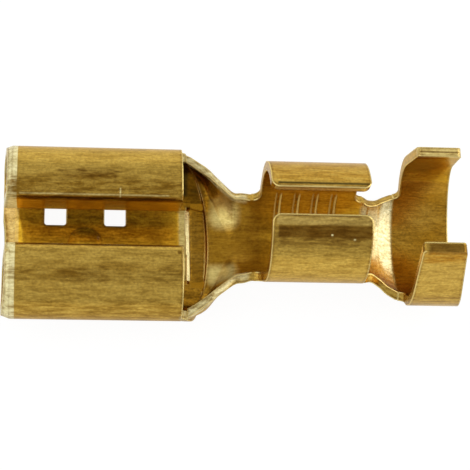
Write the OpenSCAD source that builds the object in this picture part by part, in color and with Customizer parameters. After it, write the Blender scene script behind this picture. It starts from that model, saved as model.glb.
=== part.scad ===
// Female spade terminal: one sheet of brass, blanked and folded.
// The tab enters from -X and the wire leaves toward +X. Each sub-part is drawn with x = 0 at the receptacle's
// front and z = 0 at the underside of its floor; the last module moves the whole to its origin.

/* [Sheet] */
// Thickness of the brass sheet
sheet_t = 0.4; // [0.36:0.01:0.42]

/* [Receptacle] */
// Width over the two rolled sides
receptacle_w = 7.7; // [7.4:0.05:8]
// Height over the two rolled sides
receptacle_h = 3.44; // [3.3:0.02:3.6]
// Length of the rolled sides, along the tab
receptacle_l = 7.67; // [7.2:0.05:8]
// Half of the opening between the two rolled edges
roll_gap_half = 1.0; // [0.8:0.05:1.2]
// Outer radius of the bend that turns each rolled edge down
roll_bend_r = 0.45; // [0.42:0.01:0.5]
// Angle that each rolled edge leans outward below its bend
roll_lean = 7; // [3:1:10]
// Height of the rolled edges' cut ends above the underside
roll_end_z = 1.42; // [1.25:0.01:1.5]
// Amount by which the rolled sides' front leans back at the top
front_rake = 0.2; // [0.1:0.05:0.4]
// Length of the chamfer round the front of the rolled sides
front_chamfer_l = 0.4; // [0.2:0.02:0.5]
// Depth of the chamfer round the front of the rolled sides
front_chamfer_d = 0.15; // [0.06:0.01:0.18]
// Length of the lead-in scooped into the front of the floor, on the centre line
lead_in_l = 0.88; // [0.5:0.02:1.1]
// Radius of the lead-in's rear edge
lead_in_r = 4.45; // [3.5:0.05:6]

/* [Windows and dimple] */
// Length of each window in the floor
window_l = 0.94; // [0.7:0.02:1.2]
// Distance of the first window from the front
window_start = 1.79; // [1.5:0.05:2]
// Distance between the first and the second window of a side, centre to centre
window_pitch = 2.62; // [2.3:0.02:2.8]
// Distance of the windows' inner edges from the centre line
window_inner_y = 0.84; // [0.7:0.02:1]
// Distance of the windows' outer edges from the centre line
window_outer_y = 2.0; // [1.6:0.05:2.1]
// Radius of the windows' corners
window_corner_r = 0.12; // [0.05:0.01:0.2]
// Radius of the locking dimple in the floor
dimple_r = 0.75; // [0.55:0.01:0.8]
// Height of the locking dimple above the floor
dimple_h = 0.16; // [0.1:0.01:0.22]

/* [Neck] */
// Rear edge of the receptacle's raised floor, from the front
floor_l = 8.02; // [7.9:0.01:8.1]
// Depth of the pocket between the floor and the tab stop
stop_pocket_d = 0.12; // [0.06:0.01:0.16]
// Distance of the tab stop from the front, on the centre line
stop_x = 8.86; // [8.7:0.01:9]
// Amount by which the tab stop curves forward at its ends
stop_bow = 0.96; // [0.9:0.01:1]
// Height of the neck's underside above the receptacle's underside
neck_z = 0.25; // [0.15:0.01:0.35]
// Distance of the narrowest place of the neck from the front
waist_x = 9.95; // [9.8:0.05:10.1]
// Outer radius of the neck at its narrowest place
waist_r = 2.6; // [2.4:0.05:2.8]
// Angle from the bottom to each edge of the sheet at the narrowest place
waist_angle = 57; // [52:0.5:62]

/* [Conductor barrel] */
// Distance of the conductor barrel's front from the receptacle's front
conductor_x = 11.15; // [11:0.05:11.3]
// Length of the conductor barrel
conductor_l = 4.2; // [4:0.05:4.4]
// Outer radius of the conductor barrel's lower half
conductor_r = 2.2; // [2.1:0.01:2.3]
// Outer radius of the conductor barrel's curled wings
wing_r = 2.57; // [2.5:0.01:2.65]
// Height of the curled wings' centre above the lower half's centre
wing_rise = 1.05; // [0.9:0.01:1.2]
// Half of the slit between the curled wings
slit_half = 0.6; // [0.5:0.01:0.8]
// Number of grip grooves across the conductor barrel
groove_count = 4; // [3:1:4]
// Distance of the first groove from the conductor barrel's front
groove_start = 0.8; // [0.7:0.05:0.95]
// Distance from groove to groove
groove_pitch = 0.81; // [0.7:0.01:0.85]
// Width of each groove
groove_w = 0.2; // [0.12:0.01:0.24]
// Depth of each groove
groove_d = 0.07; // [0.04:0.01:0.1]

/* [Insulation barrel] */
// Distance of the insulation barrel's front from the receptacle's front
insulation_x = 17.25; // [17.15:0.05:17.35]
// Length of the insulation barrel along its floor
insulation_l = 2.65; // [2.5:0.05:2.8]
// Outer radius of the insulation barrel's lower half
insulation_r = 3.25; // [3.15:0.01:3.35]
// Depth of the insulation barrel's underside below the receptacle's underside
insulation_drop = 0.48; // [0.4:0.01:0.55]
// Angle that the insulation wings lean inward
insulation_lean = 16; // [13:0.5:18]
// Height of the insulation wings' ends above the receptacle's underside
insulation_top = 6.46; // [6.2:0.02:6.8]
// Amount by which the wings' front edges lean forward at the top
insulation_front_lean = 0.4; // [0.2:0.05:0.5]
// Amount by which the wings' rear edges lean forward at the top
insulation_rear_lean = 0.82; // [0.6:0.02:1]

/* [Hidden] */
$fn = 96;

slack = 0.1; // how far a cutter runs past what it cuts
brass = [0.72, 0.55, 0.22];

roll_r = receptacle_h / 2;
roll_y = receptacle_w / 2 - roll_r; // centre of each rolled side
bend_y = roll_gap_half + roll_bend_r; // centre of each rolled edge's bend
bend_z = receptacle_h - roll_bend_r;
leg_l = (bend_z - roll_bend_r * sin(roll_lean) - roll_end_z) / cos(roll_lean);
dimple_x = window_start + (window_l + window_pitch) / 2;
stop_rise = 0.06; // length of the tab stop's riser
bow_power = 2.2;
stop_flat = 1.8; // half width of the pocket before the tab stop
conductor_z = neck_z + conductor_r; // centre of the conductor barrel's lower half
wall_lean = asin((wing_r - conductor_r) / wing_rise); // lean of the conductor barrel's walls
wing_corner_r = 0.35;
fillet_r = 0.35; // where the neck's edges rise into the barrels' wings
barrel_angle = 88 - wall_lean; // from the bottom to each edge of the sheet at the conductor barrel
barrel_front = conductor_x - fillet_r;
barrel_rear = conductor_x + conductor_l + fillet_r;
cradle_angle = 51; // the same at the insulation barrel
cradle_r = 0.25;
tip_r = 0.16;
insulation_z = insulation_r - insulation_drop;

half_steps = 20; // across each half of a lofted row
row_gap = 0.13; // largest distance between lofted rows
joint_l = 0.12; // how far a loft runs into its neighbour
joint_inset = 0.012;
hair = 0.003;
joint_turn = 0.6; // degrees that each edge of the loft stays inside its neighbour

// ---- small helpers ----

// Draws its 2D child in the YZ plane and extrudes it along X
module along_x(from, to) {
    translate([from, 0, 0]) rotate([90, 0, 90]) linear_extrude(to - from) children();
}

// Draws its 2D child in the XZ plane and extrudes it to both sides of the centre line
module across_y(half_width) {
    translate([0, half_width, 0]) rotate([90, 0, 0]) linear_extrude(2 * half_width) children();
}

module both_sides() {
    children();
    mirror([0, 1, 0]) children();
}

// ---- lofted sheet: neck and step-down ----

// A row of the loft is [x, bow, flat, radius, angle, z, inset]: a flat of half width "flat" at height z,
// then an arc of that radius through that angle, on both sides. "bow" moves the row's ends forward,
// and "inset" thins the sheet on both faces where the loft runs into its neighbour.

// Point at the share s of a row's half length from the centre line, at the depth d in the sheet
function row_point(row, s, d) =
    let (
        run = abs(s) * (row[2] + row[3] * row[4] * PI / 180),
        a = max(0, run - row[2]) / row[3] * 180 / PI,
        r = row[3] - d,
        y = min(run, row[2]) + r * sin(a)
    )
    [row[0] - row[1] * pow(abs(s), bow_power), s < 0 ? -y : y, row[5] + row[3] - r * cos(a)];

// Rate of change at station i of a smooth run, which ends straight along X and, unless it starts at a crease,
// starts so too
function rate(run, i, crease) =
    let (last = len(run) - 1, straight = [1, 0, 0, 0, 0, 0, 0])
    i == 0 ? (crease ? run[1] - run[0] : (run[1][0] - run[0][0]) * straight)
    : i == last ? (run[last][0] - run[last - 1][0]) * straight
    : (run[i + 1] - run[i - 1]) / 2;

// Rows of a smooth run from station to station, without its last
function smooth_rows(run, crease) = [
    for (i = [0 : len(run) - 2])
        let (steps = ceil((run[i + 1][0] - run[i][0]) / row_gap), m = rate(run, i, crease), n = rate(run, i + 1, crease))
        for (k = [0 : steps - 1])
            let (u = k / steps, v = 1 - u)
            run[i] * (1 + 2 * u) * v * v + m * u * v * v + run[i + 1] * u * u * (3 - 2 * u) - n * u * u * v
];

module loft_sheet(rows) {
    across = 2 * half_steps + 1;
    ring = 2 * across;
    points = [
        for (row = rows) each concat(
            [for (k = [0 : across - 1]) row_point(row, k / half_steps - 1, row[6])],
            [for (k = [0 : across - 1]) row_point(row, 1 - k / half_steps, sheet_t - row[6])]
        )
    ];
    end = (len(rows) - 1) * ring;
    front = [for (k = [0 : across - 2]) [k, k + 1, ring - 2 - k, ring - 1 - k]];
    rear = [for (face = front) [for (k = [3 : -1 : 0]) face[k] + end]];
    walls = [
        for (i = [0 : len(rows) - 2], k = [0 : ring - 1])
            let (next = (k + 1) % ring, a = i * ring, b = a + ring)
            [a + k, b + k, b + next, a + next]
    ];
    polyhedron(points, concat(front, walls, rear), convexity = 6);
}

// ---- receptacle ----

// Bar along X with two round sides, its underside at height z
module round_sided_bar(from, to, half_flat, r, z) {
    both_sides() along_x(from, to) translate([half_flat, z + r]) circle(r);
    along_x(from, to) translate([-half_flat, z]) square([2 * half_flat, 2 * r]);
}

// The same bar, tapered at its front so that it is smaller by the depth d at x = 0
module tapered_bar(l, d) {
    both_sides() translate([0, roll_y, roll_r]) rotate([0, 90, 0]) cylinder(l, roll_r - d, roll_r);
    across_y(roll_y) polygon([[0, d], [l, 0], [l, receptacle_h], [0, receptacle_h - d]]);
}

// Rolled edge on the +Y side: the bend, then the leg that hangs from it
module rolled_edge() {
    translate([0, bend_y, bend_z]) rotate([90, 0, 90]) {
        rotate([0, 0, 90]) rotate_extrude(angle = 90 + roll_lean)
            translate([roll_bend_r - sheet_t, 0]) square([sheet_t, receptacle_l]);
        // the leg starts inside the bend, its faces a hair within the bend's
        rotate([0, 0, 180 + roll_lean])
            translate([roll_bend_r - sheet_t + hair, -joint_inset, 0])
                cube([sheet_t - 2 * hair, leg_l + joint_inset, receptacle_l]);
    }
}

module window() {
    w = window_outer_y - window_inner_y;
    r = window_corner_r;
    translate([0, window_inner_y, -slack]) linear_extrude(sheet_t + 2 * slack) {
        translate([r, 0]) square([window_l - 2 * r, w]);
        translate([0, r]) square([window_l, w - 2 * r]);
        for (x = [r, window_l - r], y = [r, w - r]) translate([x, y]) circle(r);
    }
}

// Ball that shows as the locking dimple above z = 0
module dome() {
    ball_r = (dimple_r * dimple_r + dimple_h * dimple_h) / (2 * dimple_h);
    intersection() {
        translate([0, 0, dimple_h - ball_r]) sphere(ball_r);
        translate([0, 0, -slack]) cylinder(2 * sheet_t, r = 2 * dimple_r);
    }
}

module receptacle() {
    difference() {
        union() {
            difference() {
                intersection() {
                    round_sided_bar(0, receptacle_l, roll_y, roll_r, 0);
                    union() {
                        tapered_bar(front_chamfer_l, front_chamfer_d);
                        translate([front_chamfer_l, -receptacle_w, -slack])
                            cube([receptacle_l, 2 * receptacle_w, receptacle_h + 2 * slack]);
                    }
                }
                round_sided_bar(-slack, receptacle_l + slack, roll_y, roll_r - sheet_t, sheet_t);
                translate([-slack, -bend_y, roll_r])
                    cube([receptacle_l + 2 * slack, 2 * bend_y, receptacle_h]);
            }
            both_sides() rolled_edge();
            translate([dimple_x, 0, sheet_t]) dome();
        }
        translate([dimple_x, 0, 0]) dome();
        // lead-in scooped into the front of the floor
        translate([lead_in_l - lead_in_r, 0, sheet_t / 4])
            cylinder(sheet_t * 3 / 4, lead_in_r - lead_in_l, lead_in_r);
        translate([lead_in_l - lead_in_r, 0, sheet_t]) cylinder(sheet_t / 2, r = lead_in_r);
        // raked front
        translate([0, 0, roll_r / 2]) rotate([0, atan(front_rake / (receptacle_h - roll_r / 2)), 0])
            translate([-receptacle_h, -receptacle_w, 0])
                cube([receptacle_h, 2 * receptacle_w, 2 * receptacle_h]);
        both_sides() for (k = [0, 1]) translate([window_start + k * window_pitch, 0, 0]) window();
    }
}

// ---- neck, with the pocket and the tab stop ----

stop_foot = [stop_x, stop_bow, roll_y, roll_r, 88, 0, 0];

// From the ridge of the tab stop to the conductor barrel
neck_run = [
    [stop_x + stop_rise, stop_bow + 0.03, 2, 1.8, 78, neck_z, 0],
    [stop_x + 0.34, 0.65, 1.95, 1.4, 94, neck_z, 0],
    [stop_x + 0.7, 0.34, 0.85, 2.05, 72, neck_z, 0],
    [waist_x + 0.05, 0.05, 0, waist_r, waist_angle, neck_z, 0],
    [waist_x + 0.45, 0, 0, 2.38, 61.5, neck_z, 0],
    [barrel_front, 0, 0, conductor_r, barrel_angle - joint_turn, neck_z, joint_inset]
];

neck_rows = [
    [receptacle_l - joint_l, 0, roll_y, roll_r, 96, 0, joint_inset],
    [receptacle_l, 0, roll_y, roll_r, 96, 0, joint_inset],
    [floor_l, 0.27, roll_y, roll_r, 90, 0, 0],
    [(floor_l + stop_x) / 2, 0.6, roll_y, roll_r, 89, 0, 0],
    stop_foot,
    each smooth_rows(neck_run, true),
    neck_run[len(neck_run) - 1],
    [barrel_front + joint_l, 0, 0, conductor_r, barrel_angle - joint_turn, neck_z, joint_inset]
];

// Pocket between the raised floor and the foot of the tab stop
module stop_pocket() {
    side = [for (k = [-half_steps : half_steps]) row_point(stop_foot, k / half_steps, 0)];
    flat = [for (p = side) if (abs(p[1]) <= stop_flat) [p[0], p[1]]];
    translate([0, 0, sheet_t - stop_pocket_d]) linear_extrude(stop_pocket_d + slack / 10)
        polygon(concat(flat, [[floor_l + stop_pocket_d, stop_flat], [floor_l + stop_pocket_d, -stop_flat]]));
    across_y(stop_flat) polygon([
        [floor_l, sheet_t],
        [floor_l + stop_pocket_d, sheet_t - stop_pocket_d],
        [floor_l + 2 * stop_pocket_d, sheet_t - stop_pocket_d],
        [floor_l + 2 * stop_pocket_d, sheet_t + slack],
        [floor_l, sheet_t + slack]
    ]);
}

module neck() {
    difference() {
        loft_sheet(neck_rows);
        stop_pocket();
    }
}

// ---- conductor barrel ----

// Egg-shaped bar: a round lower half, walls that lean outward, and a wider round top
module egg_bar(from, to, inset) {
    low = conductor_r - inset;
    high = wing_r - inset;
    along_x(from, to) translate([0, conductor_z]) circle(low);
    along_x(from, to) translate([0, conductor_z + wing_rise]) circle(high);
    along_x(from, to) translate([0, conductor_z]) polygon([
        low * [cos(wall_lean), -sin(wall_lean)],
        high * [cos(wall_lean), -sin(wall_lean)] + [0, wing_rise],
        high * [-cos(wall_lean), -sin(wall_lean)] + [0, wing_rise],
        low * [-cos(wall_lean), -sin(wall_lean)]
    ]);
}

// Cutter that rounds the corner at the origin between the +X and +Y directions
module corner_cut(r, h) {
    linear_extrude(h) difference() {
        translate([-r, -r]) square(2 * r);
        translate([r, r]) circle(r);
        translate([0, r]) square(r);
        translate([r, 0]) square(r);
    }
}

// Cutter on both sides of an edge that leaves the barrel at this angle from its bottom: it ends the barrel at
// x = 0 above a fillet of radius r, and leans by that amount at the height h
module wing_cut(angle, r, lean, h) {
    both_sides() intersection() {
        rotate([angle - 90, 0, 0]) {
            across_y(h) translate([-r, r]) circle(r);
            across_y(h) polygon([[-r - slack - lean, r], [0, r], [-lean, h], [-r - slack - lean, h]]);
        }
        translate([-h, 0, -h]) cube(3 * h);
    }
}

module conductor_barrel() {
    rear_x = conductor_x + conductor_l;
    top_z = conductor_z + wing_rise;
    difference() {
        egg_bar(barrel_front, barrel_rear, 0);
        egg_bar(barrel_front - slack, barrel_rear + slack, sheet_t);
        translate([conductor_x, 0, conductor_z]) wing_cut(barrel_angle, fillet_r, 0, 3 * conductor_r);
        translate([rear_x, 0, conductor_z]) mirror([1, 0, 0])
            wing_cut(barrel_angle, fillet_r, 0, 3 * conductor_r);
        translate([barrel_front - slack, -slit_half, top_z])
            cube([barrel_rear - barrel_front + 2 * slack, 2 * slit_half, 2 * wing_r]);
        both_sides() translate([conductor_x, slit_half, top_z]) corner_cut(wing_corner_r, 2 * wing_r);
        both_sides() translate([rear_x, slit_half, top_z]) mirror([1, 0, 0])
            corner_cut(wing_corner_r, 2 * wing_r);
        for (k = [0 : groove_count - 1])
            translate([conductor_x + groove_start + k * groove_pitch, 0, conductor_z]) rotate([0, 90, 0])
                cylinder(groove_w, r = conductor_r - sheet_t + groove_d, center = true);
    }
}

// ---- step-down and insulation barrel ----

// From the conductor barrel down to the crease at the insulation barrel
step_run = [
    [barrel_rear, 0, 0, conductor_r, barrel_angle - joint_turn, neck_z, joint_inset],
    [barrel_rear + 0.3, 0, 0, 2.22, 61, neck_z - 0.02, 0],
    [barrel_rear + 0.7, 0, 0, 2.55, 54, neck_z - 0.26, 0],
    [insulation_x - 0.35, 0, 0, insulation_r - 0.22, 50.5, 0.17 - insulation_drop, 0]
];

step_rows = [
    [barrel_rear - joint_l, 0, 0, conductor_r, barrel_angle - joint_turn, neck_z, joint_inset],
    each smooth_rows(step_run, false),
    [insulation_x - 0.12, 0, 0, insulation_r - 0.04, 50.5, 0.03 - insulation_drop, 0],
    [insulation_x, 0, 0, insulation_r, cradle_angle - joint_turn, -insulation_drop, joint_inset],
    [insulation_x + joint_l, 0, 0, insulation_r, cradle_angle - joint_turn, -insulation_drop, joint_inset]
];

// U-shaped bar with a round bottom and walls that lean inward
module tulip_bar(from, to, inset) {
    r = insulation_r - inset;
    rim = r * [cos(insulation_lean), sin(insulation_lean)];
    rise = insulation_top - insulation_z - rim[1] + inset;
    tip = rim + rise * [-tan(insulation_lean), 1];
    along_x(from, to) translate([0, insulation_z]) circle(r);
    along_x(from, to) translate([0, insulation_z])
        polygon([rim, tip, [-tip[0], tip[1]], [-rim[0], rim[1]]]);
}

module insulation_barrel() {
    rear_x = insulation_x + insulation_l;
    front_x = insulation_x - insulation_front_lean; // the wings' front at the top
    difference() {
        tulip_bar(front_x, rear_x, 0);
        tulip_bar(front_x - slack, rear_x + slack, sheet_t);
        // nothing stands between the wings above the round bottom
        translate([front_x - slack, -1.2, insulation_z])
            cube([rear_x - front_x + 2 * slack, 2.4, 2 * insulation_r]);
        translate([insulation_x + cradle_r, 0, insulation_z])
            wing_cut(cradle_angle, cradle_r, insulation_front_lean, 2 * insulation_r);
        translate([front_x - slack, -2 * insulation_r, -2 * insulation_drop])
            cube([insulation_front_lean + slack, 4 * insulation_r, insulation_z]);
        across_y(2 * insulation_r) polygon([
            [rear_x, -insulation_drop],
            [rear_x - insulation_rear_lean, insulation_top],
            [rear_x - insulation_rear_lean, insulation_top + 1],
            [rear_x + 1, insulation_top + 1],
            [rear_x + 1, -insulation_drop]
        ]);
        both_sides() for (tip = [[insulation_x, 1], [rear_x - insulation_rear_lean, -1]])
            translate([tip[0], 0, insulation_top]) rotate([-90, 0, 0]) scale([tip[1], 1, 1])
                corner_cut(tip_r, insulation_r);
    }
}

// Whole terminal, its origin under the middle of its length, at the level of the insulation barrel's underside
module terminal() {
    color(brass) translate([-(insulation_x + insulation_l) / 2, 0, insulation_drop]) {
        receptacle();
        neck();
        conductor_barrel();
        loft_sheet(step_rows);
        insulation_barrel();
    }
}

terminal();
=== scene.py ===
import math

import bmesh
import bpy
from mathutils import Matrix, Vector


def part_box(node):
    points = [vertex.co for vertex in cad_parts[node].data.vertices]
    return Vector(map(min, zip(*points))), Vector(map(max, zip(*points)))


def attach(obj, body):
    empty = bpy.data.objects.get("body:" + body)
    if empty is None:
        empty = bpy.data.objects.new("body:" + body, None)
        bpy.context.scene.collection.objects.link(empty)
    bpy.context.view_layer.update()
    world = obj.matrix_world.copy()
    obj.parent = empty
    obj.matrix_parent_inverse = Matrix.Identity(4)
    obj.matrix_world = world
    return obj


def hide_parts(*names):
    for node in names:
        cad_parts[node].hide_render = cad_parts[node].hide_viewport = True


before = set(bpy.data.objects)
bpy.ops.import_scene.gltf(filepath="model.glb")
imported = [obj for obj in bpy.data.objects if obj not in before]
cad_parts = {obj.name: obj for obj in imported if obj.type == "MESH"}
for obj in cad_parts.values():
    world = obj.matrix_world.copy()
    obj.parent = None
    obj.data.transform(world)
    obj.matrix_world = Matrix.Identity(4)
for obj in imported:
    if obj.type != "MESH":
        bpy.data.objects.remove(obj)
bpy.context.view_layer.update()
print("frame loaded")

mm = 0.001  # in metres; the lengths below are in mm, and the angles in degrees
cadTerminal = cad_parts["terminal"]


# Puts a plain value, or the output of another node, into a socket
def plug(tree, socket, value):
    if isinstance(value, bpy.types.NodeSocket):
        tree.links.new(value, socket)
    else:
        socket.default_value = value


# One node with its settings, and with its inputs by name or number
def node(tree, kind, inputs=None, **settings):
    made = tree.nodes.new(kind)
    for name, value in settings.items():
        setattr(made, name, value)
    for name, value in (inputs or {}).items():
        plug(tree, made.inputs[name], value)
    return made


# The cleared node tree of a material or a world
def freshTree(owner):
    owner.use_nodes = True
    owner.node_tree.nodes.clear()
    return owner.node_tree


def maths(tree, operation, *values):
    return node(tree, "ShaderNodeMath", dict(enumerate(values)), operation=operation).outputs[0]


def vectorMaths(tree, operation, *values):
    made = node(tree, "ShaderNodeVectorMath", dict(enumerate(values)), operation=operation)
    return made.outputs["Value" if operation in ("DOT_PRODUCT", "LENGTH") else "Vector"]


# 0 where the value is at "gone", rising smoothly to 1 at "full"
def fade(tree, value, gone, full):
    return node(tree, "ShaderNodeMapRange", {"Value": value, "From Min": gone, "From Max": full},
                interpolation_type="SMOOTHSTEP").outputs["Result"]


def ramp(tree, factor, stops):
    made = node(tree, "ShaderNodeValToRGB", {"Fac": factor})
    elements = made.color_ramp.elements
    while len(elements) < len(stops):
        elements.new(0.5)
    for element, (place, colour) in zip(elements, stops):
        element.position = place
        element.color = (*colour, 1)
    return made.outputs["Color"]


def mixColours(tree, share, under, over, **settings):
    colours = [c if isinstance(c, bpy.types.NodeSocket) else (*c, 1) for c in (under, over)]
    return node(tree, "ShaderNodeMix", {0: share, 6: colours[0], 7: colours[1]},
                data_type="RGBA", **settings).outputs[2]


def mixDirections(tree, share, under, over):
    return node(tree, "ShaderNodeMix", {0: share, 4: under, 5: over}, data_type="VECTOR").outputs[1]


def mixSurfaces(tree, share, under, over):
    return node(tree, "ShaderNodeMixShader", {0: share, 1: under, 2: over}).outputs[0]


def addObject(name, data):
    made = bpy.data.objects.new(name, data)
    bpy.context.scene.collection.objects.link(made)
    return made


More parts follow.
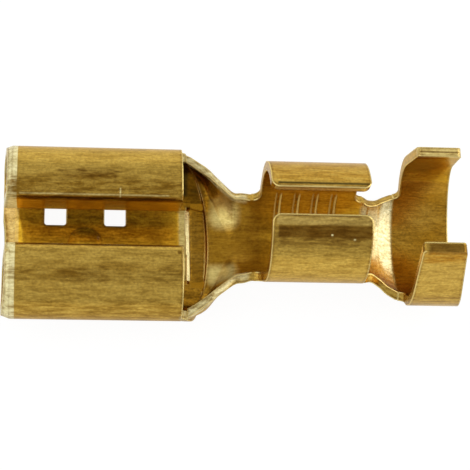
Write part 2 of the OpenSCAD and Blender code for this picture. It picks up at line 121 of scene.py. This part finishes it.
brass = {
    # Colour and metallic share of each tone
    "tones": {
        "gold": ((0.62, 0.395, 0.070), 0.92),
        "brown": ((0.50, 0.235, 0.012), 0.92),
        "umber": ((0.33, 0.175, 0.017), 0.92),
        "deep": ((0.20, 0.088, 0.004), 0.9),
        "dark": ((0.155, 0.060, 0.002), 0.9),
        "soot": ((0.06, 0.036, 0.006), 0.95),
        "sienna": ((0.42, 0.21, 0.012), 0.5),
        "straw": ((1.0, 0.76, 0.26), 0.6),
        # gleam, and satin below, are the tones of painted highlights
        "gleam": ((0.86, 0.74, 0.41), 0.85),
        "rubbed": ((0.95, 0.74, 0.27), 0.85),
        "pale": ((0.92, 0.76, 0.34), 0.85),
        "satin": ((0.96, 0.76, 0.26), 0.45),
        "amber": ((0.84, 0.47, 0.025), 0.5),
        "bright": ((1.0, 0.90, 0.46), 0.1),
    },
    "outsideTint": (1.0, 0.90, 0.72),  # of the reflections, most at a grazing angle
    "insideTint": (0.92, 0.72, 0.22),
    "roughness": 0.16,
    "grainRoughness": 0.15,  # added where the fine grain is coarsest
    "bumpStrength": 0.25,
    "bumpHeight": 0.01,

    # Noise, longest along the strip as rolling leaves it: waves per mm along each axis, detail and roughness
    "noises": {
        "fine": ((2.2, 15, 15), 4, 0.6),
        "streak": ((1.1, 5, 5), 4, 0.6),
        "speck": ((8, 10, 10), 3, 0.6),
        "cloud": ((0.35, 0.9, 0.9), 3, 0.5),
        "wobble": ((0.9, 5, 5), 3, 0.5),
    },
    # What the noises multiply the colour by, and how strongly: everywhere, and besides that in the folds
    "tints": [
        {"noise": "streak", "share": 0.8, "foldShare": 0.0,
         "stops": [(0.36, (0.72, 0.68, 0.58)), (0.50, (1, 1, 1)), (0.64, (1.08, 1.12, 1.22))]},
        {"noise": "fine", "share": 0.8, "foldShare": 0.0,
         "stops": [(0.38, (0.84, 0.81, 0.74)), (0.62, (1.09, 1.10, 1.14))]},
        {"noise": "speck", "share": 0.4, "foldShare": 0.6,
         "stops": [(0.34, (0.55, 0.50, 0.40)), (0.50, (1, 1, 1)), (0.66, (1.35, 1.38, 1.40))]},
    ],

    # Tarnish and painted shade turn the gold brown on faces that look inwards, and most where the sheet is
    # folded in on itself
    "insideHeight": 2.6,  # of the line along X that such faces look towards
    "insideFade": (0.0, 0.5),
    "foldReach": 3,  # how far away a wall still shades its neighbour
    "foldSamples": 8,
    "foldFade": (0.85, 0.35),
    "insideShadeAndTarnish": 0.6,
    "foldShadeAndTarnish": 0.4,
    "cloudTarnish": 1.2,

    # Rims of the sheet, found by how far a rounded normal leans from the face's own. Each fades in by one
    # less the cosine of that lean
    "wornRim": {"radius": 0.12, "samples": 8, "fade": (0.006, 0.08), "tone": "rubbed", "amount": 0.9},
    "grimeRim": {"radius": 0.24, "samples": 6, "fade": (0.002, 0.02), "tone": "deep", "amount": 0.85},
    # Stretches whose edges are neither worn nor rounded
    "plainEdges": [
        {"low": (0.80, -4, 0), "high": (0.90, 4, 8), "soft": 0.06},  # neck to conductor barrel
        {"low": (5.70, -4, 0), "high": (5.80, 4, 8), "soft": 0.06},  # conductor barrel to step-down
        {"low": (-1.9, 1.5, 0.7), "high": (-1.2, 2.1, 1.0), "soft": 0.06},  # far end of the pocket
        {"low": (-1.9, -2.1, 0.7), "high": (-1.2, -1.5, 1.0), "soft": 0.06},  # near end of the pocket
        {"low": (7.45, -2.6, 6.6), "high": (9.2, -2.15, 7.1), "soft": 0.05},  # near insulation tip
    ],

    "softRim": 0.2,  # of a mark that gives none
    "narrowRim": 0.1,  # the grain leaves a narrower one whole
    "rimShift": (1.2, 0.25, 0.25),  # how far the grain shifts the others
    "patchFade": (0.62, 0.42),  # where the streaks thin a broken mark
    "patchLeast": 0.4,  # and to what share
    # Worn and tarnished places, painted highlights and painted shade, each laid over the ones before it: its
    # corners, its tone and strength, and how wide its rim fades. The grain breaks up a mark, unless it is
    # even or its rim is narrow. An inside mark only shows on the faces that look inwards
    "marks": [
        {"name": "receptacle floor", "low": (-9.3, -2, 0.8), "high": (-2.3, 2, 1.1),
         "tone": "amber", "amount": 0.9, "even": True, "inside": True},
        {"name": "conductor trough", "low": (1.3, -1.8, 0.9), "high": (5.6, 1.8, 3.0),
         "tone": "amber", "amount": 0.9, "even": True, "inside": True},
        {"name": "inside of the far insulation wing", "low": (7.4, 1.9, 2.4), "high": (9.8, 3.0, 6.0),
         "tone": "amber", "amount": 0.5, "even": True, "inside": True},
        # Painted shade on the middle of the floor
        {"name": "painted shade on the floor's middle", "low": (-8.6, -1.1, 0.8), "high": (-3.0, 1.1, 1.1),
         "tone": "deep", "amount": 0.35, "soft": 0.4, "inside": True},
        {"name": "foot of the conductor trough", "low": (1.0, -2.6, 0.9), "high": (1.3, 2.6, 2.6),
         "tone": "sienna", "amount": 0.8, "soft": 0.9, "even": True, "inside": True},
        # Painted highlights at the front of the rolls and of the floor
        {"name": "painted highlight at the rolls' front", "low": (-10, -4, 1.3), "high": (-9.36, 4, 4.2),
         "tone": "bright", "amount": 0.9, "soft": 0.05},
        {"name": "painted highlight at the floor's front", "low": (-10, -2.2, 0), "high": (-9.3, 2.2, 1.1),
         "tone": "pale", "amount": 0.35, "soft": 0.05},
        {"name": "streaks on the far roll", "low": (-7.4, 1.9, 3.7), "high": (-5.3, 2.1, 4.1),
         "tone": "dark", "amount": 0.9, "soft": 0.35},
        # Painted shade along the far roll's low flank
        {"name": "painted shade on the far roll's low flank", "low": (-9.3, 1.1, 3.7), "high": (-2.0, 1.6, 4.1),
         "tone": "umber", "amount": 1.0, "soft": 0.6},
        {"name": "scratch on the far roll", "low": (-4.97, 1.08, 3.6), "high": (-4.95, 1.40, 4.0),
         "tone": "pale", "amount": 0.8, "soft": 0.04},
        # Painted highlight along the far roll's fold
        {"name": "painted highlight along the far roll's fold", "low": (-9.2, 1.14, 3.7), "high": (-2.9, 1.15, 3.9),
         "tone": "pale", "amount": 0.5, "soft": 0.04},
        {"name": "corner of the near roll", "low": (-2.5, -1.48, 3.8), "high": (-2.42, -1.42, 4.0),
         "tone": "deep", "amount": 0.9, "soft": 0.08},
        {"name": "streaks on the near roll", "low": (-7.2, -2.55, 3.7), "high": (-5.6, -2.4, 4.1),
         "tone": "dark", "amount": 0.8, "soft": 0.35},
        # Painted shade in a band along the near roll
        {"name": "painted shade along the near roll", "low": (-9.3, -2.5, 3.5), "high": (-2.3, -2.3, 4.1),
         "tone": "umber", "amount": 0.7, "soft": 0.5},
        {"name": "foot of the near roll", "low": (-9.3, -4, 0.5), "high": (-2.0, -3.4, 3.2),
         "tone": "umber", "amount": 0.6, "soft": 0.3},
        # Painted highlight on the ledge before the stop
        {"name": "painted highlight on the stop's ledge", "low": (-2.22, -1.6, 0.7), "high": (-2.02, 1.6, 1.0),
         "tone": "satin", "amount": 0.9, "soft": 0.07, "even": True, "inside": True},
        # Painted shade in the pocket
        {"name": "pocket", "low": (-1.66, -1.8, 0.7), "high": (-1.1, 1.8, 0.9),
         "tone": "deep", "amount": 0.5, "soft": 0.05, "inside": True},
        # Painted shade in the corners by the stop, at the arc's far end, on the shelf beside the pocket and
        # behind the rolls
        {"name": "painted shade in the stop's far corner", "low": (-2.1, 2.3, 0.5), "high": (-1.4, 3.4, 2.3),
         "tone": "deep", "amount": 1.0, "soft": 0.4, "even": True, "inside": True},
        {"name": "painted shade at the arc's far end", "low": (-1.6, 2.05, 0.8), "high": (-1.4, 2.5, 1.3),
         "tone": "soot", "amount": 0.6, "soft": 0.25, "even": True, "inside": True},
        {"name": "painted shade on the pocket's shelf", "low": (-1.9, 1.78, 0.7), "high": (-1.2, 2.4, 1.2),
         "tone": "deep", "amount": 0.7, "soft": 0.15, "even": True, "inside": True},
        {"name": "shade behind the far roll", "low": (-2.3, 2.4, 0.6), "high": (-1.98, 3.5, 2.4),
         "tone": "soot", "amount": 0.9, "soft": 0.2, "even": True, "inside": True},
        {"name": "shade behind the near roll", "low": (-2.27, -3.3, 0.6), "high": (-2.12, -1.6, 2.5),
         "tone": "deep", "amount": 0.9, "soft": 0.06, "inside": True},
        {"name": "painted shade in the stop's near corner", "low": (-2.2, -3.4, 0.5), "high": (-1.6, -2.3, 2.4),
         "tone": "deep", "amount": 0.6, "soft": 0.3, "inside": True},
        {"name": "neck", "low": (-0.9, -2.8, 0.9), "high": (1.2, 2.8, 2.4),
         "tone": "sienna", "amount": 0.9, "soft": 0.15, "even": True, "inside": True},
        # Painted highlights on the far and near sides of the neck
        {"name": "painted highlight on the neck's far side", "low": (-0.55, 1.1, 1.0), "high": (-0.05, 1.3, 1.8),
         "tone": "satin", "amount": 1.0, "soft": 0.6, "even": True, "inside": True},
        {"name": "painted highlight on the neck's near side", "low": (-0.8, -1.6, 1.0), "high": (-0.1, -1.3, 2.1),
         "tone": "satin", "amount": 1.0, "soft": 0.5, "even": True, "inside": True},
        # The cut edges of the neck in a pale tone: their own sheared brightness, and a painted highlight
        {"name": "cut edges of the neck", "low": (-2.2, -4, 2.15), "high": (0.5, 4, 2.4),
         "tone": "bright", "amount": 0.85, "soft": 0.25, "even": True},
        {"name": "leg of the far roll", "low": (-9.2, 0.9, 1.4), "high": (-2.4, 1.2, 3.3),
         "tone": "amber", "amount": 0.5, "soft": 0.15, "even": True, "inside": True},
        # Painted shade above the two windows, under the far roll
        {"name": "painted shade above the first window", "low": (-8.2, 0.95, 1.5), "high": (-7.2, 1.2, 3.3),
         "tone": "brown", "amount": 0.9, "soft": 0.1, "even": True, "inside": True},
        {"name": "painted shade above the second window", "low": (-5.6, 0.95, 1.5), "high": (-4.6, 1.2, 3.3),
         "tone": "brown", "amount": 0.9, "soft": 0.1, "even": True, "inside": True},
        {"name": "top of the far conductor wing", "low": (1.3, 1.0, 5.0), "high": (5.6, 2.3, 6.3),
         "tone": "brown", "amount": 0.45},
        {"name": "line on the far conductor wing", "low": (1.5, 0.79, 6.3), "high": (5.4, 0.81, 6.6),
         "tone": "soot", "amount": 0.9, "soft": 0.09},
        {"name": "cut edge of the far conductor wing", "low": (1.3, 0.5, 6.1), "high": (5.6, 0.66, 6.5),
         "tone": "straw", "amount": 0.9, "soft": 0.03},
        # Painted highlight on the top of the near conductor wing
        {"name": "painted highlight on the near conductor wing's top", "low": (1.4, -1.0, 6.2), "high": (5.5, -0.7, 6.6),
         "tone": "straw", "amount": 0.3, "soft": 0.06},
        # Painted shade in a band along the near conductor wing, with a soft lower side
        {"name": "painted shade along the near conductor wing", "low": (1.5, -1.45, 5.8), "high": (5.6, -1.10, 6.5),
         "tone": "dark", "amount": 0.75, "soft": 0.09},
        {"name": "soft lower side of that painted shade", "low": (1.6, -1.55, 5.8), "high": (5.4, -1.2, 6.5),
         "tone": "dark", "amount": 0.7, "soft": 0.45},
        # Painted highlights before and on the step-down
        {"name": "painted highlight ahead of the step-down", "low": (5.9, -2.4, 0.3), "high": (6.6, 2.4, 2.2),
         "tone": "gleam", "amount": 0.6, "soft": 0.3, "even": True, "inside": True},
        {"name": "step-down", "low": (6.55, -2.2, 0.3), "high": (7.26, 2.4, 1.7),
         "tone": "gleam", "amount": 0.95, "soft": 0.09, "inside": True},
        {"name": "far insulation tip", "low": (7.2, 1.85, 6.6), "high": (9.2, 2.4, 7.0),
         "tone": "straw", "amount": 0.9, "soft": 0.05},
        {"name": "line along the far insulation tip", "low": (7.4, 2.10, 6.8), "high": (9.0, 2.12, 7.0),
         "tone": "deep", "amount": 0.8, "soft": 0.05},
        {"name": "near insulation tip", "low": (7.65, -2.38, 6.84), "high": (9.15, -2.1, 7.1),
         "tone": "dark", "amount": 0.75, "soft": 0.22, "even": True},
        {"name": "rim under the near insulation tip", "low": (7.6, -2.5, 6.3), "high": (9.0, -2.35, 6.7),
         "tone": "brown", "amount": 0.9, "soft": 0.3},
        {"name": "foot of the near insulation wing", "low": (7.4, -3.4, 1.5), "high": (9.6, -2.9, 3.8),
         "tone": "umber", "amount": 0.6},
        # Painted reflections of the floor on the feet of the near conductor and insulation wings
        {"name": "painted floor reflection at the near conductor wing's foot", "low": (1.2, -2.8, 1.4), "high": (5.8, -2.2, 2.7),
         "tone": "pale", "amount": 0.6, "soft": 0.2},
        {"name": "painted floor reflection at the near insulation wing's foot", "low": (8.0, -3.4, 2.0), "high": (9.9, -3.0, 2.7),
         "tone": "pale", "amount": 0.5, "soft": 0.2},
        {"name": "speck on the near conductor wing", "low": (3.66, -1.40, 6.0), "high": (3.70, -1.38, 6.3),
         "tone": "bright", "amount": 0.8, "soft": 0.045},
        {"name": "second speck on that wing", "low": (4.60, -1.55, 5.9), "high": (4.66, -1.53, 6.2),
         "tone": "bright", "amount": 0.6, "soft": 0.04},
        # Painted highlight on the dimple
        {"name": "painted highlight on the dimple", "low": (-5.83, 0.2, 0.9), "high": (-5.79, 0.32, 1.1),
         "tone": "pale", "amount": 0.5, "soft": 0.05},
    ],

    # Painted highlights: bright lines along the edges of the grip grooves in the conductor barrel, with a
    # normal of their own
    "grooveLines": {
        "first": 2.0, "pitch": 0.81, "halfWidth": 0.1, "line": 0.05,
        "low": (1.8, -1.8, 1.0), "high": (4.7, 1.8, 3.2), "soft": 0.05,
        "tone": "gold", "normal": (-0.40, -0.24, 0.89), "amount": 0.8, "inside": True,
    },
    # Painted highlights of roundings that are finer than the mesh, each with the way that it faces: the lip
    # before the tab stop and the sides of the neck; and the ends of the pocket, which blend into the sheet
    "facings": [
        {"name": "far part of the lip", "low": (-1.96, 0.5, 0.7), "high": (-1.84, 1.6, 0.9),
         "soft": 0.06, "tone": "bright", "metallic": 0.9, "normal": (0.32, -0.27, 0.91), "amount": 0.8},
        {"name": "middle of the lip", "low": (-1.93, -0.4, 0.7), "high": (-1.83, 0.58, 0.9),
         "soft": 0.06, "tone": "bright", "metallic": 0.9, "normal": (0.32, -0.20, 0.92), "amount": 0.9},
        {"name": "near part of the lip", "low": (-1.90, -1.6, 0.7), "high": (-1.82, -0.3, 0.9),
         "soft": 0.05, "tone": "bright", "metallic": 0.9, "normal": (0.33, -0.13, 0.94), "amount": 0.95},
        {"name": "far end of the pocket", "low": (-1.72, 1.70, 0.7), "high": (-1.15, 1.95, 0.95),
         "soft": 0.05, "tone": "brown", "metallic": 0.9, "normal": (0, 0, 1), "amount": 0.8},
        {"name": "near end of the pocket", "low": (-1.72, -1.95, 0.7), "high": (-1.15, -1.70, 0.95),
         "soft": 0.05, "tone": "brown", "metallic": 0.9, "normal": (0, 0, 1), "amount": 0.8},
        {"name": "far side of the neck", "low": (-0.7, 1.2, 1.0), "high": (-0.3, 1.9, 2.0),
         "soft": 0.35, "tone": "satin", "metallic": 0.45, "normal": (-0.19, -0.29, 0.94), "amount": 0.3,
         "inside": True},
        {"name": "near side of the neck", "low": (-0.8, -1.75, 1.0), "high": (-0.2, -1.3, 2.2),
         "soft": 0.35, "tone": "satin", "metallic": 0.45, "normal": (-0.20, 0.10, 0.97), "amount": 0.45,
         "inside": True},
    ],
}


def rollingNoise(tree, place, name):
    waves, detail, roughness = brass["noises"][name]
    squeezed = node(tree, "ShaderNodeMapping", {"Vector": place, "Scale": waves}).outputs["Vector"]
    return node(tree, "ShaderNodeTexNoise", {
        "Vector": squeezed, "Scale": 1.0, "Detail": detail, "Roughness": roughness}).outputs


# 1 inside the box between a mark's corners, fading to 0 over its rim
def patch(tree, place, mark):
    middle = [(low + high) / 2 for low, high in zip(mark["low"], mark["high"])]
    half = [(high - low) / 2 for low, high in zip(mark["low"], mark["high"])]
    away = vectorMaths(tree, "ABSOLUTE", vectorMaths(tree, "SUBTRACT", place, middle))
    away = vectorMaths(tree, "MAXIMUM", vectorMaths(tree, "SUBTRACT", away, half), (0, 0, 0))
    return fade(tree, vectorMaths(tree, "LENGTH", away), mark.get("soft", brass["softRim"]), 0.0)


# How strongly a mark shows at this place
def markShare(tree, place, mark, inner):
    share = maths(tree, "MULTIPLY", patch(tree, place, mark), mark["amount"])
    return maths(tree, "MULTIPLY", share, inner) if mark.get("inside") else share


# The same for the lines at the grooves' edges, by the distance along X from the nearest one
def grooveShare(tree, place, inner):
    grooves = brass["grooveLines"]
    pitch = grooves["pitch"]
    along = node(tree, "ShaderNodeSeparateXYZ", {0: place}).outputs["X"]
    start = maths(tree, "SUBTRACT", along, grooves["first"] - pitch / 2)
    across = maths(tree, "FLOORED_MODULO", start, pitch)
    fromMiddle = maths(tree, "ABSOLUTE", maths(tree, "SUBTRACT", across, pitch / 2))
    fromEdge = maths(tree, "ABSOLUTE", maths(tree, "SUBTRACT", fromMiddle, grooves["halfWidth"]))
    line = fade(tree, fromEdge, grooves["line"], 0.0)
    return maths(tree, "MULTIPLY", line, markShare(tree, place, grooves, inner))


# The normal that the sheet would have with rounded rims, and how strongly a rim shows by it
def rimShare(tree, normal, rim):
    rounded = node(tree, "ShaderNodeBevel", {"Radius": rim["radius"] * mm}, samples=rim["samples"]).outputs[0]
    lean = maths(tree, "SUBTRACT", 1.0, vectorMaths(tree, "DOT_PRODUCT", rounded, normal))
    return rounded, maths(tree, "MULTIPLY", fade(tree, lean, *rim["fade"]), rim["amount"])


# Lays a tone over the finish, and with it a metallic share and a normal where they are given
def lay(tree, finish, share, tone, metallic=None, normal=None, label=""):
    finish["colour"] = mixColours(tree, share, finish["colour"], brass["tones"][tone][0], label=label)
    if metallic is not None:
        step = maths(tree, "SUBTRACT", metallic, finish["metallic"])
        finish["metallic"] = maths(tree, "MULTIPLY_ADD", share, step, finish["metallic"])
    if normal is not None:
        finish["normal"] = mixDirections(tree, share, finish["normal"], normal)


# What the layers of the finish go by: the place in mm, the normal, the noises, how far the face looks
# inwards, how deep it lies in a fold, and how the streaks thin a broken mark
def readSheet(tree):
    metres = node(tree, "ShaderNodeTexCoord").outputs["Object"]
    place = node(tree, "ShaderNodeMapping", {"Vector": metres, "Scale": [1 / mm] * 3}).outputs["Vector"]
    normal = node(tree, "ShaderNodeNewGeometry").outputs["Normal"]
    grain = {name: rollingNoise(tree, place, name) for name in brass["noises"]}
    inward = vectorMaths(tree, "MULTIPLY_ADD", place, (0, -1, -1), (0, 0, brass["insideHeight"]))
    openness = node(tree, "ShaderNodeAmbientOcclusion", {"Distance": brass["foldReach"] * mm},
                    samples=brass["foldSamples"], only_local=True).outputs["AO"]
    thin = fade(tree, grain["streak"]["Fac"], *brass["patchFade"])
    least = brass["patchLeast"]
    return {
        "place": place, "normal": normal, "grain": grain,
        "inner": fade(tree, vectorMaths(tree, "DOT_PRODUCT", inward, normal), *brass["insideFade"]),
        "folded": fade(tree, openness, *brass["foldFade"]),
        "patchy": maths(tree, "MULTIPLY_ADD", thin, 1 - least, least),
    }


# The gold, browned by tarnish and by painted shade on inward faces and in the folds
def shadedTarnishedGold(tree, at):
    foldDull = maths(tree, "MULTIPLY", at["folded"], brass["foldShadeAndTarnish"])
    dull = maths(tree, "MULTIPLY_ADD", at["inner"], brass["insideShadeAndTarnish"], foldDull)
    cloud = maths(tree, "SUBTRACT", at["grain"]["cloud"]["Fac"], 0.5)
    dull = fade(tree, maths(tree, "MULTIPLY_ADD", cloud, brass["cloudTarnish"], dull), 0.0, 1.0)
    gold, metallic = brass["tones"]["gold"]
    return {"colour": mixColours(tree, dull, gold, brass["tones"]["brown"][0]), "metallic": metallic}


def layMarks(tree, finish, at):
    sway = vectorMaths(tree, "SUBTRACT", at["grain"]["wobble"]["Color"], (0.5, 0.5, 0.5))
    swayed = vectorMaths(tree, "MULTIPLY_ADD", sway, brass["rimShift"], at["place"])
    for mark in brass["marks"]:
        whole = mark.get("even") or mark.get("soft", brass["softRim"]) < brass["narrowRim"]
        share = markShare(tree, at["place"] if whole else swayed, mark, at["inner"])
        if not whole:
            share = maths(tree, "MULTIPLY", share, at["patchy"])
        lay(tree, finish, share, mark["tone"], brass["tones"][mark["tone"]][1], label=mark["name"])


def layGrain(tree, finish, at):
    for tint in brass["tints"]:
        share = maths(tree, "MULTIPLY_ADD", at["folded"], tint["foldShare"], tint["share"])
        factor = ramp(tree, at["grain"][tint["noise"]]["Fac"], tint["stops"])
        finish["colour"] = mixColours(tree, share, finish["colour"], factor, blend_type="MULTIPLY")


# Grime beside the rims, then the rims themselves worn bright
def layRims(tree, finish, at):
    plain = 0.0
    for stretch in brass["plainEdges"]:
        plain = maths(tree, "MAXIMUM", plain, patch(tree, at["place"], stretch))
    edged = maths(tree, "SUBTRACT", 1.0, plain)
    grime = maths(tree, "MULTIPLY", rimShare(tree, at["normal"], brass["grimeRim"])[1], at["patchy"])
    rounded, worn = rimShare(tree, at["normal"], brass["wornRim"])
    lay(tree, finish, maths(tree, "MULTIPLY", grime, edged), brass["grimeRim"]["tone"], label="grime")
    lay(tree, finish, maths(tree, "MULTIPLY", worn, edged), brass["wornRim"]["tone"], label="worn rims")
    finish["normal"] = mixDirections(tree, plain, rounded, at["normal"])


# Painted highlights: the lines at the grooves' edges, then the facings, each with its own shading normal
def layHighlights(tree, finish, at):
    grooves = brass["grooveLines"]
    share = grooveShare(tree, at["place"], at["inner"])
    lay(tree, finish, share, grooves["tone"], normal=grooves["normal"], label="groove lines")
    for facing in brass["facings"]:
        share = markShare(tree, at["place"], facing, at["inner"])
        lay(tree, finish, share, facing["tone"], facing["metallic"], facing["normal"], facing["name"])


def makeBrass():
    material = bpy.data.materials.new("agedBrass")
    tree = freshTree(material)
    at = readSheet(tree)
    finish = shadedTarnishedGold(tree, at)
    layMarks(tree, finish, at)
    layGrain(tree, finish, at)
    layRims(tree, finish, at)
    layHighlights(tree, finish, at)
    fine = at["grain"]["fine"]["Fac"]
    bump = node(tree, "ShaderNodeBump", {
        "Strength": brass["bumpStrength"], "Distance": brass["bumpHeight"] * mm,
        "Height": fine, "Normal": finish["normal"]}).outputs["Normal"]
    surface = node(tree, "ShaderNodeBsdfPrincipled", {
        "Base Color": finish["colour"], "Metallic": finish["metallic"], "Normal": bump,
        "Roughness": maths(tree, "MULTIPLY_ADD", fine, brass["grainRoughness"], brass["roughness"]),
        "Specular Tint": mixColours(tree, at["inner"], brass["outsideTint"], brass["insideTint"])}).outputs[0]
    node(tree, "ShaderNodeOutputMaterial", {"Surface": surface})
    return material


agedBrass = makeBrass()
print("brass made")

sheet = {
    "weld": 0.002,  # corners closer than this become one
    "creaseAngle": 14,
    "wallReach": 0.008,  # how near to a round wall its corners lie
    "wallLean": 0.96,  # least cosine between a facet of the wall and the wall itself
    # Round walls that run along X: how far the axis is from the middle and how high, and the walls' radii
    "roundWalls": [
        {"y": 2.13, "z": 2.20, "radii": (1.72, 1.32)},  # rolled sides
        {"y": 1.45, "z": 3.47, "radii": (0.45, 0.05)},  # rolled edges
        {"y": 0, "z": 2.93, "radii": (2.2, 1.8)},  # conductor trough
        {"y": 0, "z": 3.98, "radii": (2.57, 2.17)},  # conductor wings
        {"y": 0, "z": 3.25, "radii": (3.25, 2.85)},  # insulation trough
    ],
}


# The exact normal of the round wall that a corner lies on, or else the normal of its facet
def cornerNormal(corner, facetNormal):
    for wall in sheet["roundWalls"]:
        for side in (-1, 1):
            out = Vector((0, corner.y - side * wall["y"] * mm, corner.z - wall["z"] * mm))
            distance = min(abs(out.length - radius * mm) for radius in wall["radii"])
            if distance > sheet["wallReach"] * mm:
                continue
            out.normalize()
            lean = facetNormal.dot(out)
            if abs(lean) > sheet["wallLean"]:
                return out * math.copysign(1, lean)
    return facetNormal


def makeSheet():
    mesh = cadTerminal.data.copy()
    mesh.transform(cadTerminal.matrix_world)
    merged = bmesh.new()
    merged.from_mesh(mesh)
    bmesh.ops.remove_doubles(merged, verts=merged.verts, dist=sheet["weld"] * mm)
    merged.to_mesh(mesh)
    merged.free()
    piece = addObject("foldedSheet", mesh)
    mesh.materials.clear()
    mesh.materials.append(agedBrass)
    for facet in mesh.polygons:
        facet.use_smooth = True
    mesh.set_sharp_from_angle(angle=math.radians(sheet["creaseAngle"]))
    normals = []
    for facet in mesh.polygons:
        normals += [cornerNormal(mesh.vertices[corner].co, facet.normal) for corner in facet.vertices]
    mesh.normals_split_custom_set(normals)
    return piece


foldedSheet = makeSheet()
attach(foldedSheet, "root")
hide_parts("terminal")
print("sheet made")

paleFloor = {
    "reach": 600,
    "gap": 0.02,  # between the floor and the sheet
    "grey": 0.95,
    "glow": 1.06,  # the plain white that shows in place of some of the grey
    "seenGlow": 0.88,  # how much of it the camera sees
    "mirroredGlow": 0.26,  # and how much the brass mirrors
}


def makeFloor():
    reach = paleFloor["reach"] * mm
    mesh = bpy.data.meshes.new("floor")
    mesh.from_pydata([(-reach, -reach, 0), (reach, -reach, 0), (reach, reach, 0), (-reach, reach, 0)],
                     [], [(0, 1, 2, 3)])
    piece = addObject("floor", mesh)
    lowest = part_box("terminal")[0][2]
    piece.location.z = lowest - paleFloor["gap"] * mm
    material = bpy.data.materials.new("paleFloor")
    tree = freshTree(material)
    grey = paleFloor["grey"]
    matt = node(tree, "ShaderNodeBsdfDiffuse", {"Color": (grey, grey, grey, 1)}).outputs[0]
    glow = node(tree, "ShaderNodeEmission", {"Color": (1, 1, 1, 1), "Strength": paleFloor["glow"]}).outputs[0]
    ray = node(tree, "ShaderNodeLightPath").outputs
    seen = maths(tree, "MULTIPLY", ray["Is Camera Ray"], paleFloor["seenGlow"])
    mirrored = maths(tree, "MAXIMUM", ray["Is Glossy Ray"], ray["Is Transmission Ray"])
    share = maths(tree, "MULTIPLY_ADD", mirrored, paleFloor["mirroredGlow"], seen)
    node(tree, "ShaderNodeOutputMaterial", {"Surface": mixSurfaces(tree, share, matt, glow)})
    mesh.materials.append(material)
    return piece


floor = makeFloor()
print("floor made")

studio = {
    "level": 0.585,
    "backdrop": 1.0,  # the white that the camera sees behind the part
    # Soft sources: which way each lies, the angles from there at which it is full and gone, and what it adds
    "sources": [
        {"way": (0.93, 0.20, 0.30), "full": 20, "gone": 50, "adds": 1.3},
        {"way": (-0.65, -0.10, 0.75), "full": 15, "gone": 45, "adds": 0.6},
        {"way": (0.0, 1.0, 0.10), "full": 15, "gone": 40, "adds": 0.35},
        {"way": (0.0, -0.15, 0.98), "full": 8, "gone": 25, "adds": -0.12},  # a dim spot overhead
    ],
}


def makeStudio():
    world = bpy.data.worlds.new("studio")
    bpy.context.scene.world = world
    tree = freshTree(world)
    ahead = node(tree, "ShaderNodeTexCoord").outputs["Generated"]
    level = studio["level"]
    for source in studio["sources"]:
        nearness = vectorMaths(tree, "DOT_PRODUCT", ahead, Vector(source["way"]).normalized())
        gone, full = (math.cos(math.radians(source[end])) for end in ("gone", "full"))
        level = maths(tree, "MULTIPLY_ADD", fade(tree, nearness, gone, full), source["adds"], level)
    light, backdrop = (
        node(tree, "ShaderNodeBackground", {"Color": (1, 1, 1, 1), "Strength": strength}).outputs[0]
        for strength in (level, studio["backdrop"]))
    seen = node(tree, "ShaderNodeLightPath").outputs["Is Camera Ray"]
    node(tree, "ShaderNodeOutputWorld", {"Surface": mixSurfaces(tree, seen, light, backdrop)})


makeStudio()

camera = {
    "azimuth": -16.1619,  # turned from straight in front of the near side
    "elevation": 68.3746,
    "roll": 16.1954,
    "target": (0.0694, 0, 2.2845),
    "distance": 75,
    "lens": 132.57,
    "sensor": 36,
    "nearest": 5,
}


def makeCamera():
    azimuth, elevation, roll = (math.radians(camera[angle]) for angle in ("azimuth", "elevation", "roll"))
    flat = math.cos(elevation)
    back = Vector((math.sin(azimuth) * flat, -math.cos(azimuth) * flat, math.sin(elevation)))
    level = Vector((math.cos(azimuth), math.sin(azimuth), 0))
    upright = back.cross(level)
    right = level * math.cos(roll) + upright * math.sin(roll)
    up = upright * math.cos(roll) - level * math.sin(roll)
    data = bpy.data.cameras.new("camera")
    data.lens = camera["lens"]
    data.sensor_width = camera["sensor"]
    data.clip_start = camera["nearest"] * mm
    eye = addObject("camera", data)
    place = (Vector(camera["target"]) + back * camera["distance"]) * mm
    eye.matrix_world = Matrix.Translation(place) @ Matrix((right, up, back)).transposed().to_4x4()
    bpy.context.scene.camera = eye


makeCamera()
bpy.context.scene.view_settings.view_transform = "Standard"
print("light and camera made")
